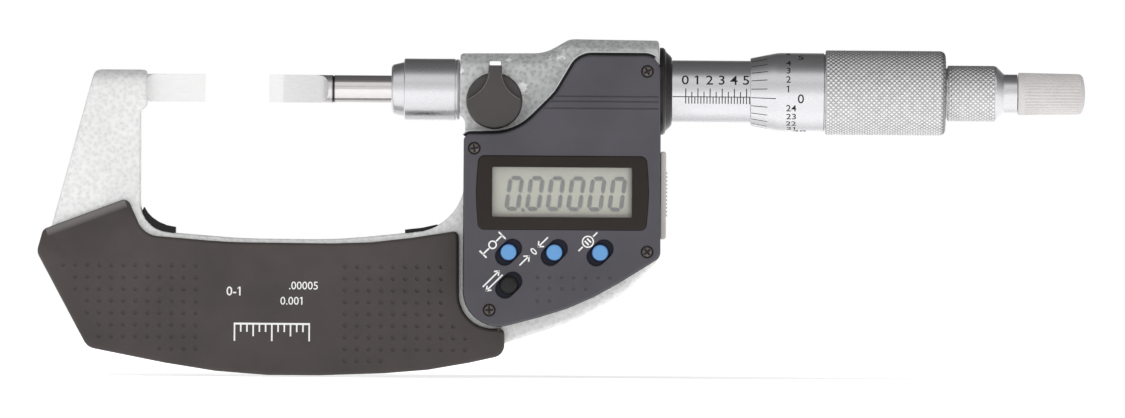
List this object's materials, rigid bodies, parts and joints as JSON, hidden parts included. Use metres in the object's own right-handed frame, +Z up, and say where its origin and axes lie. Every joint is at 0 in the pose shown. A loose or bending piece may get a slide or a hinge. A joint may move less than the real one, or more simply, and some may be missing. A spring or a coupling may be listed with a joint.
{
  "type": "outside micrometer",
  "caption": "Digital blade-type outside micrometer: C-shaped frame with insulating covers, thin blade anvil and non-rotating blade spindle, thimble, ratchet stop, display and clamp.",
  "frame": {"origin": "centre of the anvil blade's measuring face, on the spindle axis", "axes": "+X along the spindle axis from the anvil towards the thimble, +Z up away from the frame's bow, -Y out of the display side"},
  "size_m": [0.2188, 0.0227, 0.0706],
  "materials": {
    "frame_enamel": "hammertone silver-grey enamel, satin",
    "insulator_plastic": "matte warm dark grey moulding",
    "housing_plastic": "matte slate moulding",
    "satin_chrome": "satin chrome plate",
    "polished_steel": "fine ground, lightly polished",
    "carbide": "ground carbide",
    "steel": "machined steel",
    "dark_steel": "black oxide",
    "bronze": "machined bearing bronze",
    "black_plastic": "matte black moulding",
    "knob_plastic": "matte warm dark grey moulding",
    "gasket_rubber": "soft black rubber",
    "window_clear": "clear hard-coated window",
    "mask_print": "gloss dark brown print",
    "lcd_glass": "grey-green liquid crystal panel",
    "white_plastic": "white diffuser plastic",
    "board": "green solder mask",
    "chips": "black epoxy packages",
    "flex": "amber polyimide film",
    "gold_contact": "gold-flashed contact",
    "blue_button": "gloss blue",
    "black_button": "gloss black",
    "cap_plastic": "light warm grey moulding",
    "port_plastic": "light grey elastomer",
    "cell_steel": "plated cell can",
    "spring_steel": "drawn spring wire"
  },
  "bodies": {
    "frame_body": {"frame": "frame_enamel", "anvil": "polished_steel", "anvil_tip": "carbide", "front_insulator": "insulator_plastic", "rear_insulator": "insulator_plastic", "insulator_screws": "dark_steel", "spindle_guide": "satin_chrome", "guide_key": "steel", "guide_key_screw": "dark_steel", "rear_guide_bush": "bronze", "clamp_ring": "steel", "inner_sleeve": "steel", "adjusting_nut": "steel", "graduated_sleeve": "satin_chrome", "sleeve_collar": "black_plastic", "encoder_stator": "board", "rotor_bearing": "bronze", "encoder_flex": "flex", "display_housing": "housing_plastic", "housing_gasket": "gasket_rubber", "housing_screws": "dark_steel", "display_window": "window_clear", "display_mask": "mask_print", "lcd_panel": "lcd_glass", "lcd_holder": "white_plastic", "contact_strips": "gasket_rubber", "circuit_board": "board", "board_components": "chips", "switch_domes": "gold_contact", "switch_boots": "gasket_rubber", "battery": "cell_steel", "battery_holder": "black_plastic", "battery_contact": "gold_contact", "battery_seal": "gasket_rubber", "rear_cover": "housing_plastic", "rear_cover_screws": "dark_steel", "data_connector": "black_plastic", "connector_pins": "gold_contact"},
    "spindle_body": {"spindle": "polished_steel", "spindle_tip": "carbide", "thrust_ball": "polished_steel", "coupling_pins": "steel"},
    "thimble_body": {"lead_screw": "steel", "thimble": "satin_chrome", "ratchet_base": "satin_chrome", "ratchet_screw": "steel", "ratchet_spring": "spring_steel", "ratchet_wheel": "steel"},
    "ratchet_body": {"ratchet_cap": "cap_plastic", "ratchet_pawl": "steel"},
    "rotor_body": {"encoder_rotor": "gold_contact"},
    "clamp_body": {"clamp_lever": "knob_plastic", "clamp_shaft": "steel"},
    "origin_button_body": {"origin_button": "blue_button"},
    "zero_button_body": {"zero_button": "blue_button"},
    "hold_button_body": {"hold_button": "blue_button"},
    "unit_button_body": {"unit_button": "black_button"},
    "port_cover_body": {"port_cover": "port_plastic"},
    "battery_cap_body": {"battery_cap": "housing_plastic"}
  },
  "joints": [
    {"name": "spindle_travel", "type": "slide", "parent": "frame_body", "child": "spindle_body", "axis": [1, 0, 0], "range_m": [-0.01333, 0.01206]},
    {"name": "thimble_turn", "type": "hinge", "parent": "spindle_body", "child": "thimble_body", "pos_m": [0.12, 0, 0], "axis": [1, 0, 0], "range_deg": [-7560, 6840]},
    {"name": "ratchet_turn", "type": "hinge", "parent": "thimble_body", "child": "ratchet_body", "pos_m": [0.177, 0, 0], "axis": [1, 0, 0], "continuous": true},
    {"name": "rotor_turn", "type": "hinge", "parent": "frame_body", "child": "rotor_body", "pos_m": [0.089, 0, 0], "axis": [1, 0, 0], "range_deg": [-7560, 6840]},
    {"name": "clamp_turn", "type": "hinge", "parent": "frame_body", "child": "clamp_body", "pos_m": [0.0605, -0.009, -0.0023], "axis": [0, 1, 0], "range_deg": [-50, 0]},
    {"name": "origin_press", "type": "slide", "parent": "frame_body", "child": "origin_button_body", "axis": [0, 1, 0], "range_m": [0, 0.0005], "stiffness_N_per_m": 1000, "springref_m": -0.0005},
    {"name": "zero_press", "type": "slide", "parent": "frame_body", "child": "zero_button_body", "axis": [0, 1, 0], "range_m": [0, 0.0005], "stiffness_N_per_m": 1000, "springref_m": -0.0005},
    {"name": "hold_press", "type": "slide", "parent": "frame_body", "child": "hold_button_body", "axis": [0, 1, 0], "range_m": [0, 0.0005], "stiffness_N_per_m": 1000, "springref_m": -0.0005},
    {"name": "unit_press", "type": "slide", "parent": "frame_body", "child": "unit_button_body", "axis": [0, 1, 0], "range_m": [0, 0.0005], "stiffness_N_per_m": 1000, "springref_m": -0.0005},
    {"name": "port_cover_pull", "type": "slide", "parent": "frame_body", "child": "port_cover_body", "axis": [1, 0, 0], "range_m": [0, 0.008]},
    {"name": "battery_cap_pull", "type": "slide", "parent": "frame_body", "child": "battery_cap_body", "axis": [0, 1, 0], "range_m": [0, 0.006]}
  ],
  "couplings": [
    {"joint": "spindle_travel", "follows": "thimble_turn", "m_per_rad": 0.00010106},
    {"joint": "rotor_turn", "follows": "thimble_turn", "ratio": 1}
  ]
}
